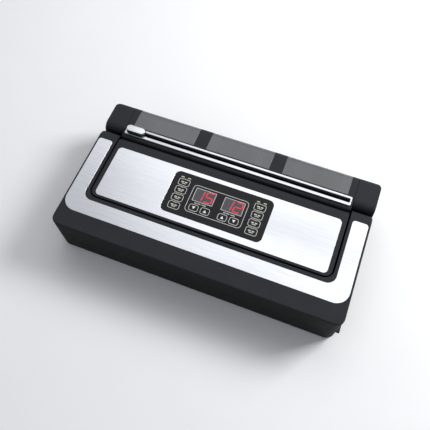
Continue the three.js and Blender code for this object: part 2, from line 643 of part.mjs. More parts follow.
// The cover's skin seen from the side: round nose, flat top, curved down to the rear wall.
function coverSkin(wall) {
  const [yc, zc, r] = [REAR - COVER.curve, TOP - COVER.curve, COVER.curve];
  return shape(
    pt(COVER_Y0, TOP - COVER.lip),
    pt(COVER_Y0 + wall, TOP - COVER.lip),
    arc(COVER_Y0 + COVER.nose, TOP - COVER.nose, COVER.nose - wall, 180, 90),
    arc(yc, zc, r - wall, 90, 0, 8),
    pt(REAR - wall, BARREL_Z),
    pt(REAR, BARREL_Z),
    arc(yc, zc, r, 0, 90, 8),
    coverNose,
  );
}

function coverEnd() {
  return shape(
    pt(COVER_Y0, TOP - COVER.lip),
    pt(REAR - 2 * BARREL.radius, BARREL_Z),
    pt(REAR, BARREL_Z),
    arc(REAR - COVER.curve, TOP - COVER.curve, COVER.curve, 0, 90, 8),
    coverNose,
  );
}

const windowEdge = COVER_X - WINDOWS.edge;
const windowSpans = {
  left: [-windowEdge, -WINDOWS.ribOut],
  middle: [-WINDOWS.ribIn, WINDOWS.ribIn],
  right: [WINDOWS.ribOut, windowEdge],
};
const windowBlock = ([x0, x1], gap) =>
  block(x0 + gap, x1 - gap, COVER_Y0 + WINDOWS.front + gap, REAR + 1, TOP - WINDOWS.bottom + gap, TOP + 1);
const slotX = COVER_X - RAIL.end - RAIL.lip;

function coverFrame() {
  const end = prismX(coverEnd(), COVER_X - COVER.end, COVER_X);
  const barrel = rodX(BARREL.radius, -COVER_X, COVER_X, BARREL_Y, BARREL_Z, 16);
  const pinBore = rodX(BARREL.pin + GAP, COVER_X - BARREL.grip - GAP, COVER_X + 1, BARREL_Y, BARREL_Z, 12);
  const slot = block(-slotX, slotX, SLOT_Y - RAIL.stem / 2, SLOT_Y + RAIL.stem / 2, TOP - 5, TOP + 1);
  const body = union(prismX(coverSkin(COVER.wall), -COVER_X, COVER_X), bothSides(end), barrel);
  return cut(body, ...Object.values(windowSpans).map((s) => windowBlock(s, 0)), slot, bothSides(pinBore));
}

piece("cover_frame", coverFrame(), FINISH.black);
Object.entries(windowSpans).forEach(([side, span]) =>
  piece(`window_${side}`,
    prismX(coverSkin(WINDOWS.wall), ...span).intersect(windowBlock(span, GAP)), FINISH.smoke),
);
pair("cover_pin",
  rodX(BARREL.pin, COVER_X - BARREL.grip, CAP_IN + BARREL.reach, BARREL_Y, BARREL_Z, 12), FINISH.steel);

// ---- Cutter: rail, slider with its knob, blade holder and blade, parked at the left ----
const railZ = TOP + GAP;
const railY = COVER_Y0 + RAIL.inset;
const railX = COVER_X - RAIL.end;

function cutterRail() {
  const strip = slab(roundRect(-railX, railX, railY, railY + RAIL.deep, 2, 2), railZ, railZ + RAIL.tall);
  const y = railY + RAIL.slotFront;
  return cut(strip, block(-slotX, slotX, y, y + RAIL.slot, railZ - 1, railZ + 5));
}

const knobX = -slotX + KNOB.shoe[0] / 2 - 0.6;
const stadium = (long, deep) =>
  roundRect(knobX - long / 2, knobX + long / 2, SLOT_Y - deep / 2, SLOT_Y + deep / 2, deep / 2 - 0.01, 5);
const sliderZ = railZ + RAIL.tall + GAP;
const stem = RAIL.stem / 2 - GAP;
const holderTop = TOP - COVER.wall - GAP;

function cutterSlider() {
  return union(
    slab(stadium(...KNOB.shoe), sliderZ, sliderZ + KNOB.shoeT),
    block(knobX - 5, knobX + 5, SLOT_Y - stem, SLOT_Y + stem, holderTop + GAP, sliderZ + LAP),
  );
}

function bladeHolder() {
  const body = block(knobX - 9, knobX + 9, SLOT_Y - 2.5, SLOT_Y + 2.5, TOP - 8.5, holderTop);
  const half = BLADE.wall / 2 + GAP;
  return cut(body, block(knobX - BLADE.long / 2 - GAP, knobX + BLADE.long / 2 + GAP, SLOT_Y - half,
    SLOT_Y + half,
    TOP - 10, TOP - BLADE.top + GAP));
}

function blade() {
  const [x0, x1] = [knobX - BLADE.long / 2, knobX + BLADE.long / 2];
  return prismY(
    shape(pt(x0, TOP - 9), pt(knobX, TOP - BLADE.tip), pt(x1, TOP - 9), pt(x1, TOP - BLADE.top),
      pt(x0, TOP - BLADE.top)),
    SLOT_Y - BLADE.wall / 2,
    SLOT_Y + BLADE.wall / 2,
  );
}

piece("cutter_rail", cutterRail(), FINISH.chrome);
piece("cutter_slider", cutterSlider(), FINISH.black);
piece("cutter_knob",
  slab(stadium(KNOB.long, KNOB.deep), sliderZ + KNOB.shoeT + GAP, sliderZ + KNOB.shoeT + GAP + KNOB.cap),
  FINISH.chrome);
piece("blade_holder", bladeHolder(), FINISH.white);
piece("cutter_blade", blade(), FINISH.steel);

export default sealer;
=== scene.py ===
import json
import math

import bmesh
import bpy
from mathutils import Matrix, Vector


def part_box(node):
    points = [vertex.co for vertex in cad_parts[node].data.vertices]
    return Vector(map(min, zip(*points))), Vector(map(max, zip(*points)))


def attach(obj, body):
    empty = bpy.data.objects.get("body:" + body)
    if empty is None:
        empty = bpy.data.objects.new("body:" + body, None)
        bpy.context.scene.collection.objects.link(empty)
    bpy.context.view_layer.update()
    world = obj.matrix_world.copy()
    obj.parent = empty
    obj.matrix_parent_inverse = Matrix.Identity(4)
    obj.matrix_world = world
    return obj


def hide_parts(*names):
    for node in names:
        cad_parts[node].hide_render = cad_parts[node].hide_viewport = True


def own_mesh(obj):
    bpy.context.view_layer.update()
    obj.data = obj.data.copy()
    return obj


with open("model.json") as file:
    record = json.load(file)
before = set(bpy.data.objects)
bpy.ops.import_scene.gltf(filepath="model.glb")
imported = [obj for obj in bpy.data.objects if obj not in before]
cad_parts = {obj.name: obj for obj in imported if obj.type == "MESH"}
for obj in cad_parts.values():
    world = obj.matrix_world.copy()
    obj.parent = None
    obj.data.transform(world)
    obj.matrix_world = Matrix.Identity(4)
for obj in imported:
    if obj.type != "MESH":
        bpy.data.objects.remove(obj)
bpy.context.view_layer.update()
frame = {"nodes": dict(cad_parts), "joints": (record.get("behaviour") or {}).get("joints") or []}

# ---- Studio ----
# A pale sheet of paper lit by a key soft box from the right and behind. Two weaker boxes behind, the right one
# brighter, are there for the steel to mirror, and the walls are grey. The camera looks down over the front edge.
studio = bpy.context.scene
studio.view_settings.view_transform = "Standard"

camera = bpy.data.objects.new("camera", bpy.data.cameras.new("camera"))
camera.data.lens = 42.9946
camera.location = (0.113505, -0.306082, 0.695348)
camera.rotation_euler = [math.radians(angle) for angle in (26.21966, 0.18884, 20.90744)]
studio.collection.objects.link(camera)
studio.camera = camera

for name, place, aim, size, watts in (
    ("key_box", (1.15, 0.95, 1.15), (0, 0, 0), (0.7, 0.7), 27.0),
    ("rear_right_box", (0.06, 0.66, 1.15), (0.1, 0.02, 0), (1.3, 0.8), 3.55),
    ("rear_left_box", (-0.95, 0.66, 1.15), (-0.1, 0.02, 0), (1.0, 0.8), 1.1),
):
    lamp = bpy.data.lights.new(name, "AREA")
    lamp.shape = "RECTANGLE"
    lamp.size, lamp.size_y = size
    lamp.energy = watts
    light = bpy.data.objects.new(name, lamp)
    light.location = place
    light.rotation_euler = (Vector(aim) - Vector(place)).to_track_quat("-Z", "Y").to_euler()
    studio.collection.objects.link(light)

walls = bpy.data.worlds.new("studio_walls")
walls.use_nodes = True
walls.node_tree.nodes["Background"].inputs["Color"].default_value = (0.62, 0.64, 0.68, 1)
walls.node_tree.nodes["Background"].inputs["Strength"].default_value = 0.55
studio.world = walls


def paint(code):
    """An sRGB hex colour as linear RGBA."""
    parts = [int(code[i:i + 2], 16) / 255 for i in (0, 2, 4)]
    return (*[c / 12.92 if c <= 0.04045 else ((c + 0.055) / 1.055) ** 2.4 for c in parts], 1)


def start(name, **sockets):
    """A new material and its shader, with the sockets that are the same all over the surface."""
    made = bpy.data.materials.new(name)
    made.use_nodes = True
    shader = made.node_tree.nodes["Principled BSDF"]
    for key, value in sockets.items():
        shader.inputs[key.replace("_", " ")].default_value = value
    return made, shader


def add(made, kind, inputs=(), **settings):
    """Adds one node to a material; its inputs are values or other nodes' outputs."""
    new = made.node_tree.nodes.new("ShaderNode" + kind)
    for key, value in settings.items():
        setattr(new, key, value)
    for key, value in dict(inputs).items():
        if isinstance(value, bpy.types.NodeSocket):
            made.node_tree.links.new(value, new.inputs[key])
        else:
            new.inputs[key].default_value = value
    return new


# Seamless background paper: uncoated, so it has no gloss, with a faint cloudy tone a hand wide.
paper, shader = start("background_paper", Roughness=1.0, Specular_IOR_Level=0.0)
cloud = add(paper, "TexNoise", {"Vector": add(paper, "TexCoord").outputs["Object"], "Scale": 1 / 0.09})
tone = add(paper, "Mix", {0: cloud.outputs["Fac"], 6: paint("f9f9f9"), 7: paint("fdfdfd")}, data_type="RGBA")
paper.node_tree.links.new(tone.outputs[2], shader.inputs["Base Color"])
sheet = bmesh.new()
bmesh.ops.create_grid(sheet, x_segments=1, y_segments=1, size=3)
floor_mesh = bpy.data.meshes.new("floor")
sheet.to_mesh(floor_mesh)
sheet.free()
floor_mesh.materials.append(paper)
floor = bpy.data.objects.new("floor", floor_mesh)
studio.collection.objects.link(floor)

# ---- Base tub ----
# The lower half of the case, a shallow tray injection-moulded in black ABS, with a spark-eroded grain that leaves
# it satin. Its sides have a mouth for each release button, the rear has the mains socket, the floor has vents.
WALL = 0.0025
GAP = 0.0003
CORNER = 0.012


def upright(edge):
    a, b = (vert.co for vert in edge.verts)
    return (a - b).xy.length < 1e-6


def level(height):
    return lambda edge: all(abs(vert.co.z - height) < 1e-6 for vert in edge.verts)


def lengthwise(y, z):
    """Edges along the machine's width at that place in the side view."""
    return lambda edge: all(abs(v.co.y - y) < 1e-6 and abs(v.co.z - z) < 1e-6 for v in edge.verts)


def soften(bm, radius, steps, where):
    edges = [edge for edge in bm.edges if where(edge)]
    bmesh.ops.bevel(bm, geom=edges, offset=radius, offset_type="OFFSET", segments=steps, profile=0.5,
                    affect="EDGES", material=-1, clamp_overlap=True)


def pad(low, high, corner=0.0, steps=8):
    """A block whose upright edges are rounded."""
    low, high = Vector(low), Vector(high)
    bm = bmesh.new()
    bmesh.ops.create_cube(bm, size=1, matrix=Matrix.Translation((low + high) / 2) @ Matrix.Diagonal((*(high - low), 1)))
    if corner:
        soften(bm, corner, steps, upright)
    return bm


def rod(tail, head, radius, steps=48):
    tail, head = Vector(tail), Vector(head)
    turn = (head - tail).to_track_quat("Z", "Y").to_matrix().to_4x4()
    bm = bmesh.new()
    bmesh.ops.create_cone(bm, cap_ends=True, segments=steps, radius1=radius, radius2=radius,
                          depth=(head - tail).length, matrix=Matrix.Translation((tail + head) / 2) @ turn)
    return bm


def prism(outline, reach):
    """A solid from a flat outline of points in space, drawn out along reach."""
    bm = bmesh.new()
    face = bm.faces.new([bm.verts.new(point) for point in outline])
    drawn = bmesh.ops.extrude_face_region(bm, geom=[face])["geom"]
    bmesh.ops.translate(bm, verts=[g for g in drawn if isinstance(g, bmesh.types.BMVert)], vec=reach)
    bmesh.ops.recalc_face_normals(bm, faces=bm.faces)
    return bm


def carve(bm, tool, operation="DIFFERENCE"):
    """Takes the second solid from the first, joins them or keeps what they share."""
    pair = []
    for solid in (bm, tool):
        mesh = bpy.data.meshes.new("blank")
        solid.to_mesh(mesh)
        solid.free()
        pair.append(bpy.data.objects.new("blank", mesh))
        studio.collection.objects.link(pair[-1])
    step = pair[0].modifiers.new("carve", "BOOLEAN")
    step.operation = operation
    step.object = pair[1]
    step.solver = "EXACT"
    result = bmesh.new()
    result.from_mesh(pair[0].evaluated_get(bpy.context.evaluated_depsgraph_get()).to_mesh())
    for blank in pair:
        bpy.data.meshes.remove(blank.data)
    return result


def gather(solids):
    """One mesh that holds several separate solids."""
    whole = bmesh.new()
    for solid in solids:
        mesh = bpy.data.meshes.new("blank")
        solid.to_mesh(mesh)
        solid.free()
        whole.from_mesh(mesh)
        bpy.data.meshes.remove(mesh)
    return whole


def piece(name, bm, finish, body, nodes, edge=0.0004):
    """Puts a solid in the scene with softened edges and its finish, on its body and in place of its CAD nodes. The
    bevel's own clamp holds the softening back on carved solids: the tub and the cover get almost none."""
    bmesh.ops.remove_doubles(bm, verts=bm.verts, dist=1e-6)
    mesh = bpy.data.meshes.new(name)
    bm.to_mesh(mesh)
    bm.free()
    mesh.materials.append(finish)
    mesh.shade_smooth()
    mesh.set_sharp_from_angle(angle=math.radians(35))
    obj = bpy.data.objects.new(name, mesh)
    studio.collection.objects.link(obj)
    if edge:
        bevel = obj.modifiers.new("soft_edges", "BEVEL")
        bevel.width = edge
        bevel.segments = 2
        bevel.limit_method = "ANGLE"
        bevel.angle_limit = math.radians(40)
        flat = obj.modifiers.new("flat_faces", "WEIGHTED_NORMAL")
        flat.keep_sharp = True
    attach(obj, body)
    if nodes:
        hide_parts(*nodes)
    return obj


def moulded(name, light, dark, rough, grain, painted_side_shade=None, **sockets):
    """Moulded plastic or rubber: two close tones a thumb wide, and a fine grain that scatters its gloss. A finish
    with a painted side shade gets that darker colour on the faces that do not look up, as painted shade."""
    made, shader = start(name, **sockets)
    coords = add(made, "TexCoord")
    place = coords.outputs["Object"]
    wide = add(made, "TexNoise", {"Vector": place, "Scale": 1 / 0.025, "Detail": 3.0})
    tone = add(made, "Mix", {0: wide.outputs["Fac"], 6: paint(dark), 7: paint(light)}, data_type="RGBA")
    # Painted shade: faces that do not look up get the darker side colour instead of the plastic's own tone.
    if painted_side_shade:
        facing = add(made, "SeparateXYZ", {0: coords.outputs["Normal"]})
        upward = add(made, "MapRange", {"Value": facing.outputs["Z"], "From Min": 0.0, "From Max": 0.9})
        tone = add(made, "Mix", {0: upward.outputs[0], 6: paint(painted_side_shade), 7: tone.outputs[2]}, data_type="RGBA")
    made.node_tree.links.new(tone.outputs[2], shader.inputs["Base Color"])
    gloss = add(made, "MapRange", {"Value": wide.outputs["Fac"], "To Min": rough - 0.04, "To Max": rough + 0.05})
    made.node_tree.links.new(gloss.outputs[0], shader.inputs["Roughness"])
    pits = add(made, "TexNoise", {"Vector": place, "Scale": 1 / grain, "Detail": 2.0})
    bump = add(made, "Bump", {"Height": pits.outputs["Fac"], "Strength": 0.25, "Distance": grain / 12})
    made.node_tree.links.new(bump.outputs["Normal"], shader.inputs["Normal"])
    return made


# Black ABS from a spark-eroded mould: the real pits are 0.1 mm wide, drawn here at 0.6 mm so that they show. The
# darker colour of its sides is painted shade, since they come out too pale under the lamps without it.
black_abs = moulded("black_abs_satin_grain", "37383c", "303134", 0.5, 0.0006, "242424", IOR=1.45,
                    Specular_IOR_Level=0.03)

tub_lo, tub_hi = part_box("base_tub")
tub = pad(tub_lo, tub_hi, CORNER)
soften(tub, 0.0015, 3, level(tub_lo.z))
tub = carve(tub, pad(tub_lo + Vector((WALL, WALL, WALL)), tub_hi + Vector((-WALL, -WALL, WALL)), CORNER - WALL))
for side in ("right", "left"):
    low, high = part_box(f"release_button_{side}")
    tub = carve(tub, pad((low.x - GAP, low.y - GAP, low.z - GAP), (high.x + GAP, high.y + GAP, tub_hi.z + WALL)))
low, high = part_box("mains_inlet")
tub = carve(tub, pad((low.x - GAP, low.y, low.z - GAP), (high.x + GAP, high.y + WALL, high.z + GAP)))
VENT = {"pitch": 0.012, "wide": 0.004, "long": 0.03, "middle": -0.015}
SCREW_HOLE = 0.0021
for k in range(-2, 3):
    x = VENT["middle"] + k * VENT["pitch"]
    tub = carve(tub, pad((x - VENT["wide"] / 2, -VENT["long"] / 2, 0), (x + VENT["wide"] / 2, VENT["long"] / 2, 0.01),
                         VENT["wide"] * 0.49, 5))
for k in range(1, 5):
    low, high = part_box(f"case_screw_{k}")
    middle = (low + high) / 2
    tub = carve(tub, rod((middle.x, middle.y, 0), (middle.x, middle.y, 0.01), SCREW_HOLE, 24))
piece("tub_moulding", tub, black_abs, "base", ["base_tub"])

# ---- Feet ----
# Four round pads punched from black rubber sheet and stuck under the corners, matt and a little dusty.
foot_rubber = moulded("black_rubber_matt", "232324", "1b1b1c", 0.82, 0.0008, Specular_IOR_Level=0.3)
for end in ("front", "rear"):
    for side in ("right", "left"):
        low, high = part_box(f"foot_{end}_{side}")
        middle = (low + high) / 2
        foot = rod((middle.x, middle.y, low.z), (middle.x, middle.y, high.z), (high.x - low.x) / 2)
        soften(foot, 0.0009, 3, level(low.z))
        piece(f"rubber_foot_{end}_{side}", foot, foot_rubber, "base", [f"foot_{end}_{side}"], 0.0)

# ---- Lid ----
# A U-shaped clamshell in the same black ABS: a wide bar across the front and an arm down each side, each arm ending
# in a round knuckle on its hinge pin. It is hollow underneath, and its top has a shallow seat for the steel trim.
lid_lo, lid_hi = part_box("lid_shell")
console_lo, console_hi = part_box("console_housing")
trim_lo, trim_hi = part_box("lid_trim")
hinge = Vector(next(j for j in frame["joints"] if j["name"] == "lid_hinge")["pos_m"])
GROOVE = 0.0025
ARM_IN = console_hi.x + GROOVE
BAR_REAR = console_lo.y - GROOVE
KNUCKLE = lid_hi.y - hinge.y
LID_INNER_CORNER = 0.014
SEAT = lid_hi.z - trim_lo.z + GAP
SKIN = 0.0023


def horseshoe(out, inner, front, bar, rear, low, high, outer_corner, inner_corner, tip=0.0):
    """A U in plan, open to the rear, from height low to high."""
    outline = [(-out, front), (out, front), (out, rear), (inner, rear), (inner, bar), (-inner, bar), (-inner, rear),
               (-out, rear)]
    bm = prism([(x, y, low) for x, y in outline], (0, 0, high - low))
    for y, radius in ((front, outer_corner), (bar, inner_corner), (rear, tip)):
        if radius:
            soften(bm, radius, 8, lambda e: upright(e) and abs(e.verts[0].co.y - y) < 1e-6)
    return bm


def outer_rim(edge):
    """The lid's top edge along its outside, and not along the console or across the arms' ends."""
    middle = (edge.verts[0].co + edge.verts[1].co) / 2
    inside = abs(middle.x) < ARM_IN + 0.001 and middle.y > BAR_REAR - 0.001
    return level(lid_hi.z)(edge) and not inside and middle.y < hinge.y - 1e-6


RIM = 0.0024
lid = horseshoe(lid_hi.x, ARM_IN, lid_lo.y, BAR_REAR, hinge.y, lid_lo.z, lid_hi.z, CORNER, LID_INNER_CORNER)
soften(lid, RIM, 4, outer_rim)
for sign in (1, -1):
    knuckle = rod((sign * ARM_IN, hinge.y, hinge.z), (sign * lid_hi.x, hinge.y, hinge.z), KNUCKLE, 64)
    soften(knuckle, RIM, 4, lambda e: all(abs(v.co.x - sign * lid_hi.x) < 1e-6 for v in e.verts))
    lid = carve(lid, knuckle, "UNION")
hollow = horseshoe(lid_hi.x - WALL, ARM_IN + WALL, lid_lo.y + WALL, BAR_REAR - WALL, hinge.y - KNUCKLE - 0.003,
                   lid_lo.z - WALL, lid_hi.z - SEAT - SKIN, CORNER - WALL, LID_INNER_CORNER + WALL)
lid = carve(lid, hollow)
deck_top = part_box("chassis")[1].z
lid = carve(lid, pad((-lid_hi.x + WALL, lid_lo.y + WALL, 0), (lid_hi.x - WALL, lid_hi.y + 0.04, deck_top + 0.0006),
                     CORNER - WALL))
TRIM = {"arm": 0.02165, "bar": 0.02245, "outer": 0.019, "inner": 0.0127, "tip": 0.004}


def trim_form(grow, low, high):
    return horseshoe(trim_hi.x + grow, trim_hi.x - TRIM["arm"] - grow, trim_lo.y - grow,
                     trim_lo.y + TRIM["bar"] + grow, trim_hi.y + grow, low, high, TRIM["outer"] + grow,
                     TRIM["inner"] - grow, TRIM["tip"] + grow)


lid = carve(lid, trim_form(GAP / 2, lid_hi.z - SEAT, lid_hi.z + WALL))
for side in (1, -1):
    pin_lo, pin_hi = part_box("lid_hinge_pin_right" if side > 0 else "lid_hinge_pin_left")
    radius = (pin_hi.z - pin_lo.z) / 2 + GAP
    reach = max(abs(pin_lo.x), abs(pin_hi.x)) + GAP
    lid = carve(lid, rod((side * (ARM_IN - 0.001), hinge.y, hinge.z), (side * reach, hinge.y, hinge.z), radius, 32))
piece("lid_moulding", lid, black_abs, "lid", ["lid_shell"], 0.0005)

# The trim is one blank of 0.8 mm stainless steel, brushed along its length and glued into the seat. The brushing
# leaves long fine scratches, which stretch the light across them; real ones are 0.05 mm apart, drawn at 0.7 mm.
def brushed(name, light, dark, rough, spacing, length):
    made, shader = start(name, Metallic=1.0, Anisotropic=0.4)
    place = add(made, "TexCoord").outputs["Object"]
    lines = add(made, "Mapping", {"Vector": place, "Scale": (1 / length, 1 / spacing, 1 / spacing)})
    scratch = add(made, "TexNoise", {"Vector": lines.outputs[0], "Scale": 1.0, "Detail": 4.0, "Roughness": 0.65})
    tone = add(made, "Mix", {0: scratch.outputs["Fac"], 6: paint(dark), 7: paint(light)}, data_type="RGBA")
    made.node_tree.links.new(tone.outputs[2], shader.inputs["Base Color"])
    gloss = add(made, "MapRange", {"Value": scratch.outputs["Fac"], "To Min": rough - 0.08, "To Max": rough + 0.08})
    made.node_tree.links.new(gloss.outputs[0], shader.inputs["Roughness"])
    bump = add(made, "Bump", {"Height": scratch.outputs["Fac"], "Strength": 0.12, "Distance": 0.00005})
    made.node_tree.links.new(bump.outputs["Normal"], shader.inputs["Normal"])
    return made


sheet_steel = brushed("brushed_stainless_sheet", "fdfeff", "bfc3cc", 0.34, 0.0007, 0.045)
trim = trim_form(0.0, trim_lo.z, trim_hi.z)
piece("lid_steel_trim", trim, sheet_steel, "lid", ["lid_trim"], 0.0002)

# ---- Console ----
# The fixed middle of the machine, moulded in the same black ABS. Behind the steel plate its top rolls down into a
# ledge under the nose of the cover, where the cut film comes out.
plate_lo, plate_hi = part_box("console_plate")
overlay_lo, overlay_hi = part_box("control_overlay")
cover_lo, cover_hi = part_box("cover_frame")
DIP = {"run": 0.0105, "depth": 0.007}
CONSOLE_CORNER = 0.010
PLATE_CORNER = 0.006
PIN_BOSS = {"deep": 0.008, "radius": 0.0043}


def console_form(inset, bottom, top):
    """The console's solid, or its hollow when inset by a wall."""
    half = console_hi.x - inset
    y0, y1 = console_lo.y + inset, console_hi.y - inset
    ledge = console_hi.z - DIP["depth"] - inset * 1.2
    dip0, dip1 = cover_lo.y - DIP["run"] - inset, cover_lo.y - inset
    roll = [(dip0 + (dip1 - dip0) * t / 10, top - (top - ledge) * (t / 10) ** 2) for t in range(11)]
    side = [(y0, bottom), (y0, top), *roll, (y1, ledge), (y1, bottom)]
    bm = prism([(-half, y, z) for y, z in side], (2 * half, 0, 0))
    soften(bm, CONSOLE_CORNER - inset, 8, lambda e: upright(e) and abs(e.verts[0].co.y - y0) < 1e-6)
    return bm


console = console_form(0.0, console_lo.z, console_hi.z)
console = carve(console, console_form(WALL, console_lo.z - WALL, console_hi.z - SEAT - SKIN))
console = carve(console, pad((plate_lo.x - GAP / 2, plate_lo.y - GAP / 2, console_hi.z - SEAT),
                             (plate_hi.x + GAP / 2, plate_hi.y + GAP / 2, console_hi.z + WALL), PLATE_CORNER + GAP / 2))
display_lo, display_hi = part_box("display_right")
console = carve(console, pad((-display_hi.x - 0.001, display_lo.y - 0.001, console_hi.z - 0.007),
                             (display_hi.x + 0.001, display_hi.y + 0.001, console_hi.z)))
for side in (1, -1):
    console = carve(console, rod((side * (console_hi.x - PIN_BOSS["deep"]), hinge.y, hinge.z),
                                 (side * (console_hi.x + 0.001), hinge.y, hinge.z), PIN_BOSS["radius"], 32))
piece("console_moulding", console, black_abs, "base", ["console_housing"], 0.0006)

# The plate is the same brushed stainless sheet, blanked with a window for the control overlay.
OVERLAY_CORNER = 0.008
plate = pad(plate_lo, plate_hi, PLATE_CORNER)
plate = carve(plate, pad((overlay_lo.x - GAP / 2, overlay_lo.y - GAP / 2, plate_lo.z - WALL),
                         (overlay_hi.x + GAP / 2, overlay_hi.y + GAP / 2, plate_hi.z + WALL), OVERLAY_CORNER + GAP / 2))
piece("console_steel_plate", plate, sheet_steel, "base", ["console_plate"], 0.0002)

# ---- Control overlay ----
# A membrane keypad: one sheet of polyester film, screen-printed black from behind, which leaves it smooth with a
# soft gloss. The keys are printed outlines with domes under them, and each display has a cut-out.
film, shader = start("printed_polyester_film", Roughness=0.32, IOR=1.5, Specular_IOR_Level=0.12)
place = add(film, "TexCoord").outputs["Object"]
ink = add(film, "TexNoise", {"Vector": place, "Scale": 1 / 0.004, "Detail": 2.0})
tone = add(film, "Mix", {0: ink.outputs["Fac"], 6: paint("1f1f21"), 7: paint("28282a")}, data_type="RGBA")
film.node_tree.links.new(tone.outputs[2], shader.inputs["Base Color"])
overlay = pad(overlay_lo, overlay_hi, OVERLAY_CORNER)
for side in ("right", "left"):
    low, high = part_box(f"display_{side}")
    overlay = carve(overlay, pad((low.x - GAP / 2, low.y - GAP / 2, 0), (high.x + GAP / 2, high.y + GAP / 2, 0.1)))
piece("keypad_film", overlay, film, "base", ["control_overlay"], 0.0002)

# The print is raised ink a tenth of a millimetre thick, in pale grey for outlines and captions, in white for the
# arrows and in a pale yellow-green for the level bars. Captions are plain dashes, each with its place from the middle
# of its key or display, its length and its height.
INK = 0.00012
ink_z = (overlay_hi.z - INK / 2, overlay_hi.z + INK)


def printed(name, colour, glow):
    """Screen ink, a little thinner and darker in flecks a millimetre wide, with a faint painted glow in its own colour.
    """
    made, shader = start(name, Roughness=0.55, Specular_IOR_Level=0.2, Emission_Strength=glow,
                         Emission_Color=paint(colour))
    wear = add(made, "TexNoise", {"Vector": add(made, "TexCoord").outputs["Object"], "Scale": 1 / 0.001})
    thin = (*[c * 0.8 for c in paint(colour)[:3]], 1)
    mottle = add(made, "Mix", {0: wear.outputs["Fac"], 6: paint(colour), 7: thin}, data_type="RGBA")
    made.node_tree.links.new(mottle.outputs[2], shader.inputs["Base Color"])
    return made


def printed_box(x, y, wide, deep, corner, line):
    """A printed outline round a middle point."""
    reach = Vector((wide / 2, deep / 2, 0))
    middle = Vector((x, y, 0))
    low, high = middle - reach, middle + reach
    width = Vector((line, line, 0))
    outer = pad((*low.xy, ink_z[0]), (*high.xy, ink_z[1]), corner, 5)
    inner = pad((*(low + width).xy, 0), (*(high - width).xy, 0.1), max(corner - line, 0.0003), 5)
    return carve(outer, inner)


def dash(x, y, wide, deep):
    return pad((x - wide / 2, y - deep / 2, ink_z[0]), (x + wide / 2, y + deep / 2, ink_z[1]))


def arrow(x, y, wide, tall):
    """A printed triangle; a negative height points it to the front."""
    outline = [(x - wide / 2, y - tall / 2), (x + wide / 2, y - tall / 2), (x, y + tall / 2)]
    return prism([(px, py, ink_z[0]) for px, py in outline], (0, 0, ink_z[1] - ink_z[0]))


display_mid = (display_lo + display_hi) / 2
LINE = 0.0007
OUTLINE_CORNER = 0.0006
FRAME = {"wide": 0.0810, "deep": 0.0428, "ahead": 0.0100, "corner": 0.0055}
ARROW_KEY = {"x": (0.0125, 0.0290), "below": 0.0106, "wide": 0.0132, "deep": 0.0104, "corner": 0.0032}
ARROW = {"wide": 0.0045, "tall": 0.0042}
SIDE_KEY = {"x": 0.0557, "wide": 0.0165, "deep": 0.0112, "pitch": 0.0126, "first": 0.0155, "corner": 0.0030}
LEVEL_BAR = {"apart": 0.0048, "inside": 0.0006, "wide": 0.0042, "tall": 0.0016}
LEVEL_CAPTION = {"outside": 0.0024, "wide": 0.0044, "tall": 0.0013}
DISPLAY_CAPTION = {"below": 0.0029, "tall": 0.0011, "words": ((-0.008, 0.0035), (-0.003, 0.0045), (0.004, 0.006))}
KEY_CAPTION = ((-0.0024, 0.0006, 0.0040, 0.0016), (0.0026, 0.0006, 0.0034, 0.0016), (0, -0.0018, 0.0060, 0.0010))
grey_print = [printed_box(0, overlay_lo.y + FRAME["ahead"] + FRAME["deep"] / 2, FRAME["wide"], FRAME["deep"],
                          FRAME["corner"], LINE)]
white_print, green_print = [], []
for sign in (1, -1):
    grey_print.append(printed_box(sign * display_mid.x, display_mid.y, display_hi.x - display_lo.x + LINE,
                                  display_hi.y - display_lo.y + LINE, OUTLINE_CORNER, LINE))
    for k, x in enumerate(ARROW_KEY["x"]):
        y = display_lo.y - ARROW_KEY["below"]
        grey_print.append(printed_box(sign * x, y, ARROW_KEY["wide"], ARROW_KEY["deep"], ARROW_KEY["corner"], LINE))
        white_print.append(arrow(sign * x, y, ARROW["wide"], ARROW["tall"] if k == 0 else -ARROW["tall"]))
    for x, wide in DISPLAY_CAPTION["words"]:
        grey_print.append(dash(sign * display_mid.x + x, display_lo.y - DISPLAY_CAPTION["below"], wide,
                               DISPLAY_CAPTION["tall"]))
    for row in range(4):
        x = sign * SIDE_KEY["x"]
        y = overlay_hi.y - SIDE_KEY["first"] - row * SIDE_KEY["pitch"]
        grey_print.append(printed_box(x, y, SIDE_KEY["wide"], SIDE_KEY["deep"], SIDE_KEY["corner"], LINE))
        grey_print += [dash(x + right, y + up, wide, tall) for right, up, wide, tall in KEY_CAPTION]
        edge = y + SIDE_KEY["deep"] / 2
        bars = (-LEVEL_BAR["apart"], LEVEL_BAR["apart"]) if row == 0 else (0.0,)
        green_print += [dash(x + bar, edge - LEVEL_BAR["inside"], LEVEL_BAR["wide"], LEVEL_BAR["tall"]) for bar in bars]
        if row == 0:
            grey_print += [dash(x + bar, edge + LEVEL_CAPTION["outside"], LEVEL_CAPTION["wide"],
                                LEVEL_CAPTION["tall"]) for bar in bars]
# Each ink is given a faint painted glow through its emission strength, though printed ink gives no light.
piece("keypad_outlines", gather(grey_print), printed("grey_ink", "d2d2ce", 0.08), "base", [], 0.0)
piece("keypad_arrows", gather(white_print), printed("white_ink", "f2f2f0", 0.10), "base", [], 0.0)
piece("keypad_level_bars", gather(green_print), printed("green_ink", "c9d29a", 0.06), "base", [], 0.0)

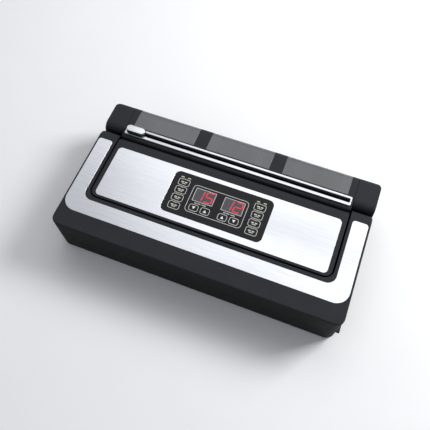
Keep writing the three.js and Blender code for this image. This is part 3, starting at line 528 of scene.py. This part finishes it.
# ---- Displays ----
# Two seven-segment modules behind smoked acrylic filters, set flush in the film. The filter is a dull grey when the
# room is bright, and the lit segments show through it in red.
smoked_filter, shader = start("smoked_acrylic_filter", Roughness=0.25, Specular_IOR_Level=0.25)
place = add(smoked_filter, "TexCoord").outputs["Object"]
cloud = add(smoked_filter, "TexNoise", {"Vector": place, "Scale": 1 / 0.002})
tone = add(smoked_filter, "Mix", {0: cloud.outputs["Fac"], 6: paint("46464a"), 7: paint("545459")}, data_type="RGBA")
smoked_filter.node_tree.links.new(tone.outputs[2], shader.inputs["Base Color"])
lit_segment, shader = start("lit_red_segment", Roughness=0.4, Emission_Color=paint("e02f3a"), Emission_Strength=0.4)
glow = add(lit_segment, "TexNoise", {"Vector": add(lit_segment, "TexCoord").outputs["Object"], "Scale": 1 / 0.003})
tone = add(lit_segment, "Mix", {0: glow.outputs["Fac"], 6: paint("b3202b"), 7: paint("cf2a36")}, data_type="RGBA")
lit_segment.node_tree.links.new(tone.outputs[2], shader.inputs["Base Color"])

DIGIT = {"wide": 0.0100, "tall": 0.0158, "bar": 0.0018, "pitch": 0.0140, "lean": math.tan(math.radians(6)),
         "inset": 0.0076, "up": 0.0006}
BARS = {"top": (0, 1, 1, 1), "middle": (0, 0, 1, 0), "bottom": (0, -1, 1, -1), "upper_left": (-1, 0, -1, 1),
        "lower_left": (-1, -1, -1, 0), "upper_right": (1, 0, 1, 1), "lower_right": (1, -1, 1, 0)}
LIT = {"1": ["upper_right", "lower_right"],
       "2": ["top", "upper_right", "middle", "lower_left", "bottom"],
       "5": ["top", "upper_left", "middle", "lower_right", "bottom"]}


def digit(number, middle):
    """The lit bars of one leaning digit."""
    bars = []
    for name in LIT[number]:
        a, b, c, d = BARS[name]
        across = a != c
        x, y = (0 if across else a) * DIGIT["wide"] / 2, (b + d) / 2 * DIGIT["tall"] / 2
        long = (DIGIT["wide"] if across else DIGIT["tall"] / 2) - DIGIT["bar"] * 0.35
        half = Vector((long / 2, DIGIT["bar"] / 2) if across else (DIGIT["bar"] / 2, long / 2))
        bar = pad((x - half.x, y - half.y, -INK), (x + half.x, y + half.y, INK), DIGIT["bar"] * 0.42, 1)
        lean = Matrix.Identity(4)
        lean[0][1] = DIGIT["lean"]
        bmesh.ops.transform(bar, matrix=Matrix.Translation(middle) @ lean, verts=bar.verts)
        bars.append(bar)
    return bars


for side, number in (("left", "15"), ("right", "12")):
    low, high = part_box(f"display_{side}")
    window = pad(low, high, 0.0004, 2)
    piece(f"display_filter_{side}", window, smoked_filter, "base", [f"display_{side}"], 0.0002)
    middle = Vector((high.x - DIGIT["inset"], (low.y + high.y) / 2 + DIGIT["up"], high.z))
    bars = digit(number[1], middle) + digit(number[0], middle - Vector((DIGIT["pitch"], 0, 0)))
    piece(f"display_digits_{side}", gather(bars), lit_segment, "base", [], 0.0)

# ---- Cover of the roll compartment ----
# A long black ABS frame with a round nose in front and a curve down the back, where it hinges. It has three openings
# for the windows, two ribs between them, a slot for the cutter's stem and a barrel along its lower rear edge.
COVER = {"lip": 0.0052, "nose": 0.0048, "wall": 0.0026, "curve": 0.0105, "end": 0.0026, "barrel": 0.0035}
cover_hinge = Vector(next(j for j in frame["joints"] if j["name"] == "cover_hinge")["pos_m"])
windows = {side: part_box(f"window_{side}") for side in ("left", "middle", "right")}
rail_lo, rail_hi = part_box("cutter_rail")
slider_lo, slider_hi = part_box("cutter_slider")


def shell_profile(front, wall, x0, x1, lip):
    """The cover's skin between x0 and x1: nose or cut edge, flat top and rear curve."""
    top, back = cover_hi.z, cover_hi.y
    side = [(front, top - lip), (front, top), (back, top), (back, cover_hinge.z), (back - wall, cover_hinge.z),
            (back - wall, top - wall), (front + wall, top - wall), (front + wall, top - lip)]
    bm = prism([(x0, y, z) for y, z in side], (x1 - x0, 0, 0))
    soften(bm, COVER["curve"], 16, lengthwise(back, top))
    soften(bm, COVER["curve"] - wall, 16, lengthwise(back - wall, top - wall))
    if front == cover_lo.y:
        soften(bm, COVER["nose"], 8, lengthwise(front, top))
        soften(bm, COVER["nose"] - wall, 8, lengthwise(front + wall, top - wall))
    return bm


cover = shell_profile(cover_lo.y, COVER["wall"], cover_lo.x, cover_hi.x, COVER["lip"])
for sign in (1, -1):
    x0, x1 = sign * (cover_hi.x - COVER["end"]), sign * cover_hi.x
    side = [(cover_lo.y, cover_hi.z - COVER["lip"]), (cover_lo.y, cover_hi.z), (cover_hi.y, cover_hi.z),
            (cover_hi.y, cover_hinge.z), (cover_hi.y - 2 * COVER["barrel"], cover_hinge.z)]
    end = prism([(x0, y, z) for y, z in side], (x1 - x0, 0, 0))
    soften(end, COVER["curve"], 16, lengthwise(cover_hi.y, cover_hi.z))
    soften(end, COVER["nose"], 8, lengthwise(cover_lo.y, cover_hi.z))
    cover = carve(cover, end, "UNION")
cover = carve(cover, rod((cover_lo.x, cover_hinge.y, cover_hinge.z), (cover_hi.x, cover_hinge.y, cover_hinge.z),
                         COVER["barrel"], 32), "UNION")
for low, high in windows.values():
    cover = carve(cover, pad((low.x - GAP / 2, low.y - GAP / 2, low.z - GAP / 2), (high.x + GAP / 2, 0.2, 0.1)))
SLOT = {"front": 0.0044, "deep": 0.0064, "end": 0.0023, "stem": 0.0034}
slot_y = rail_lo.y + SLOT["front"] + SLOT["deep"] / 2
cover = carve(cover, pad((rail_lo.x + SLOT["end"], slot_y - SLOT["stem"] / 2, cover_hi.z - 0.005),
                         (rail_hi.x - SLOT["end"], slot_y + SLOT["stem"] / 2, cover_hi.z + 0.001)))
for side in ("right", "left"):
    low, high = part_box(f"cover_pin_{side}")
    cover = carve(cover, rod((low.x - GAP, cover_hinge.y, cover_hinge.z),
                             (high.x + GAP, cover_hinge.y, cover_hinge.z), (high.z - low.z) / 2 + GAP, 24))
piece("cover_moulding", cover, black_abs, "cover", ["cover_frame"], 0.0005)

# The windows are smoked polycarbonate, moulded to the same curve and welded into the frame. They are see-through but
# cloudy: the tint drinks most of the light, and faint flow bands run across them from the mould.
smoked_clear, shader = start("smoked_polycarbonate", IOR=1.58, Specular_IOR_Level=0.35, Transmission_Weight=0.42)
place = add(smoked_clear, "TexCoord").outputs["Object"]
bands = add(smoked_clear, "Mapping", {"Vector": place, "Scale": (1 / 0.018, 1 / 0.25, 1 / 0.25)})
flow = add(smoked_clear, "TexNoise", {"Vector": bands.outputs[0], "Scale": 1.0, "Detail": 3.0})
tone = add(smoked_clear, "Mix", {0: flow.outputs["Fac"], 6: paint("6a6c6c"), 7: paint("84868a")}, data_type="RGBA")
smoked_clear.node_tree.links.new(tone.outputs[2], shader.inputs["Base Color"])
haze = add(smoked_clear, "MapRange", {"Value": flow.outputs["Fac"], "To Min": 0.18, "To Max": 0.34})
smoked_clear.node_tree.links.new(haze.outputs[0], shader.inputs["Roughness"])
for side, (low, high) in windows.items():
    sheet = shell_profile(low.y - 0.01, 0.002, low.x, high.x, 0.002)
    sheet = carve(sheet, pad((low.x - 0.01, low.y, low.z), (high.x + 0.01, 0.2, 0.1)), "INTERSECT")
    piece(f"smoked_window_{side}", sheet, smoked_clear, "cover", [f"window_{side}"], 0.0003)

# ---- Cutter ----
# The rail is one aluminium pressing, satin anodised and closed at both ends, with a long slot. In it slides a black
# nylon shoe with a silver knob on top and a blade holder below, parked at the left.
rail_silver = brushed("satin_anodised_aluminium", "e4e6ea", "d2d5db", 0.42, 0.0006, 0.03)
rail = pad(rail_lo, rail_hi, 0.002, 5)
rail = carve(rail, pad((rail_lo.x + SLOT["end"], rail_lo.y + SLOT["front"], 0),
                       (rail_hi.x - SLOT["end"], rail_lo.y + SLOT["front"] + SLOT["deep"], 0.1), 0.0006, 3))
piece("cutter_rail_pressing", rail, rail_silver, "cover", ["cutter_rail"], 0.0004)

knob_lo, knob_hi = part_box("cutter_knob")
SHOE = {"thick": 0.0024, "stem_long": 0.010, "stem_deep": 0.0028}
shoe_x, shoe_z = (slider_lo.x + slider_hi.x) / 2, slider_hi.z - SHOE["thick"]
shoe = pad((slider_lo.x, slider_lo.y, shoe_z), slider_hi, (slider_hi.y - slider_lo.y) * 0.499, 12)
stem = pad((shoe_x - SHOE["stem_long"] / 2, slot_y - SHOE["stem_deep"] / 2, slider_lo.z),
           (shoe_x + SHOE["stem_long"] / 2, slot_y + SHOE["stem_deep"] / 2, shoe_z + 0.0005))
shoe_nylon = moulded("black_nylon_shoe", "1b1b1d", "141415", 0.45, 0.0005, Specular_IOR_Level=0.2)
piece("cutter_shoe", carve(shoe, stem, "UNION"), shoe_nylon, "cutter", ["cutter_slider"])

# The knob is ABS with a satin chrome plating, rounded over its top edge, so it reads as pale silver.
knob_silver, shader = start("satin_chrome_plating", Metallic=1.0)
cloud = add(knob_silver, "TexNoise", {"Vector": add(knob_silver, "TexCoord").outputs["Object"], "Scale": 1 / 0.004})
tone = add(knob_silver, "Mix", {0: cloud.outputs["Fac"], 6: paint("e2e5ec"), 7: paint("eff1f5")}, data_type="RGBA")
knob_silver.node_tree.links.new(tone.outputs[2], shader.inputs["Base Color"])
haze = add(knob_silver, "MapRange", {"Value": cloud.outputs["Fac"], "To Min": 0.34, "To Max": 0.46})
knob_silver.node_tree.links.new(haze.outputs[0], shader.inputs["Roughness"])
knob = pad(knob_lo, knob_hi, (knob_hi.y - knob_lo.y) * 0.499, 12)
soften(knob, 0.0012, 4, level(knob_hi.z))
piece("cutter_knob_cap", knob, knob_silver, "cutter", ["cutter_knob"], 0.0)

# ---- End caps ----
# A black ABS block at each end of the cover, screwed to the chassis behind the lid's knuckles, which it follows with
# a hollow in front. Its outer edges are well rounded.
def sharp_outside(inner_x):
    """Edges of a cap that turn through more than a third of a right angle, away from the cover."""
    return lambda e: (len(e.link_faces) == 2 and e.calc_face_angle() > math.radians(30)
                      and all(abs(v.co.x) > inner_x + 0.003 and v.co.z > hinge.z for v in e.verts))


def span(sign, near, far, *along):
    """The corners of a block between two distances from the machine's middle, on the side that sign gives."""
    (y0, z0), (y1, z1) = along
    x0, x1 = sorted((sign * near, sign * far))
    return (x0, y0, z0), (x1, y1, z1)


CAP = {"front": 0.012, "rim": 0.0028, "hollow": KNUCKLE + 0.0015}
for side, sign in (("right", 1), ("left", -1)):
    low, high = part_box(f"end_cap_{side}")
    inner, outer = sorted((abs(low.x), abs(high.x)))
    face = hinge.y + CAP["hollow"]
    arc = [math.radians(-87 + 87 * k / 12) for k in range(13)]
    hollow = [(hinge.y + CAP["hollow"] * math.cos(a), hinge.z + CAP["hollow"] * math.sin(a)) for a in arc]
    profile = [(face, high.z), (high.y, high.z), (high.y, low.z), (low.y, low.z), *hollow]
    cap = prism([(sign * inner, y, z) for y, z in profile], (sign * (outer - inner), 0, 0))
    soften(cap, CAP["front"], 12, lengthwise(face, high.z))
    soften(cap, COVER["curve"], 16, lengthwise(high.y, high.z))
    rounded = span(sign, inner - 0.04, outer, (low.y - 0.05, 0), (high.y, 0.1))
    cap = carve(cap, pad(*rounded, CORNER, 12), "INTERSECT")
    soften(cap, CAP["rim"], 4, sharp_outside(inner))
    room = pad(*span(sign, inner + WALL, outer - WALL, (face + WALL, 0), (high.y - WALL, high.z - WALL)))
    soften(room, COVER["curve"] - WALL, 8, lengthwise(high.y - WALL, high.z - WALL))
    soften(room, CAP["front"] - WALL, 8, lengthwise(face + WALL, high.z - WALL))
    rounded = span(sign, inner - 0.04, outer - WALL, (low.y - 0.05, -0.01), (high.y - WALL, 0.1))
    room = carve(room, pad(*rounded, CORNER - WALL, 12), "INTERSECT")
    cap = carve(cap, room)
    piece(f"end_cap_moulding_{side}", cap, black_abs, "base", [f"end_cap_{side}"], 0.0004)

# ---- Release buttons ----
# One at each side under the lid: a black ABS pad with a sloping thumb face, pushed in to unlatch the lid.
THUMB_SLOPE = 0.0085
for side, sign in (("right", 1), ("left", -1)):
    low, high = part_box(f"release_button_{side}")
    inner, outer = sorted((abs(low.x), abs(high.x)))
    outline = [(inner, low.z), (outer, low.z), (outer, high.z - THUMB_SLOPE), (lid_hi.x, high.z), (inner, high.z)]
    button = prism([(sign * x, low.y, z) for x, z in outline], (0, high.y - low.y, 0))
    soften(button, 0.001, 3, lambda e: all(abs(v.co.x) > inner + 0.001 for v in e.verts))
    piece(f"button_pad_{side}", button, black_abs, f"{side}_button", [f"release_button_{side}"], 0.0)

# ---- Deck, seals and lining ----
# What the open lid shows: the chassis deck and the lid's liner in coarser black ABS, the drip tray, two foam rubber
# gaskets, the nylon heater bar under its glass-cloth tape and the red silicone press strip above it.
def refined(name, node, finish, body, edge):
    """A merged copy of a CAD solid whose edges are then softened."""
    bm = bmesh.new()
    bm.from_mesh(frame["nodes"][node].data)
    bmesh.ops.remove_doubles(bm, verts=bm.verts, dist=2e-6)
    bmesh.ops.dissolve_limit(bm, angle_limit=math.radians(1), verts=bm.verts, edges=bm.edges)
    return piece(name, bm, finish, body, [node], edge)


# The coarse-grain ABS also gets painted shade: a darker colour on its faces that do not look up.
lining_abs = moulded("black_abs_coarse_grain", "303033", "28282a", 0.62, 0.0009, "232323", Specular_IOR_Level=0.03)
gasket_foam = moulded("closed_cell_foam_rubber", "1d1d1e", "131314", 0.9, 0.0007, Specular_IOR_Level=0.2)
press_silicone = moulded("red_silicone", "a8443a", "96382f", 0.6, 0.0006, Specular_IOR_Level=0.4)
white_nylon = moulded("natural_nylon", "dcdcd6", "cfcfc8", 0.5, 0.0006, Specular_IOR_Level=0.4)
inlet_black = moulded("black_polyamide_socket", "19191b", "121213", 0.4, 0.0006, Specular_IOR_Level=0.3)
for node, body in (("chassis", "base"), ("drip_tray", "base"), ("roll_tray", "base"), ("lid_liner", "lid")):
    refined(f"{node}_moulding", node, lining_abs, body, 0.0004)
refined("lower_gasket_foam", "lower_gasket", gasket_foam, "base", 0.0009)
refined("upper_gasket_foam", "upper_gasket", gasket_foam, "lid", 0.0009)
refined("press_strip_silicone", "press_strip", press_silicone, "lid", 0.0006)
refined("heater_bar_nylon", "heater_bar", white_nylon, "base", 0.0002)
refined("mains_socket", "mains_inlet", inlet_black, "base", 0.0003)
refined("blade_holder_nylon", "blade_holder", white_nylon, "cutter", 0.0003)
for side in ("right", "left"):
    refined(f"hook_nylon_{side}", f"latch_hook_{side}", white_nylon, f"{side}_button", 0.0003)

# The tape over the heater is glass cloth coated with fluoropolymer: tan, slick, with its plain weave showing through.
glass_tape, shader = start("coated_glass_cloth", Roughness=0.35, Specular_IOR_Level=0.4)
place = add(glass_tape, "TexCoord").outputs["Object"]
THREADS = 1 / 0.0012 / 6.28
warp = add(glass_tape, "TexWave", {"Vector": place, "Scale": THREADS}, bands_direction="X")
weft = add(glass_tape, "TexWave", {"Vector": place, "Scale": THREADS}, bands_direction="Y")
weave = add(glass_tape, "Math", {0: warp.outputs["Fac"], 1: weft.outputs["Fac"]}, operation="MULTIPLY")
tone = add(glass_tape, "Mix", {0: weave.outputs[0], 6: paint("8d6a43"), 7: paint("a98358")}, data_type="RGBA")
glass_tape.node_tree.links.new(tone.outputs[2], shader.inputs["Base Color"])
refined("heater_tape", "element_tape", glass_tape, "base", 0.0)

# ---- Fasteners, springs and the machinery inside ----
# Turned and drawn steel, a zinc-plated motor can, copper-brown transformer iron, green circuit boards and nylon pump
# heads. All of these keep their CAD shapes and get their own finish.
black_oxide = brushed("black_oxide_steel", "3a3a3c", "2b2b2d", 0.5, 0.0004, 0.004)
plain_steel = brushed("zinc_plated_steel", "c9ccd0", "b2b5ba", 0.35, 0.0004, 0.004)
board_green = moulded("solder_mask_green", "1f5a34", "17482a", 0.35, 0.0008, Specular_IOR_Level=0.4)
core_iron = moulded("varnished_transformer_iron", "4a3a2e", "3a2d23", 0.5, 0.0006, Specular_IOR_Level=0.4)
for finish, nodes in {
    black_oxide: ["lid_hinge_pin_right", "lid_hinge_pin_left"],
    plain_steel: ["cover_pin_right", "cover_pin_left", "cutter_blade",
                  "heating_element", "pump_motor", *[f"case_screw_{k}" for k in range(1, 5)]],
    board_green: ["control_board", "power_board"],
    core_iron: ["transformer"],
    white_nylon: ["pump_head_left", "pump_head_right", "vacuum_hose", "release_valve"],
}.items():
    for node in nodes:
        frame["nodes"][node].material_slots[0].material = finish

# Each button is pushed back by a coil spring of steel wire, which stands on a seat in the chassis and is pressed
# together from its outer end. Here each spring keeps its CAD shape on the base, in its own copy of the mesh.
for side in ("right", "left"):
    low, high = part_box(f"button_spring_{side}")
    spring = refined(f"return_spring_{side}", f"button_spring_{side}", plain_steel, "base", 0.0)
    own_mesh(spring)
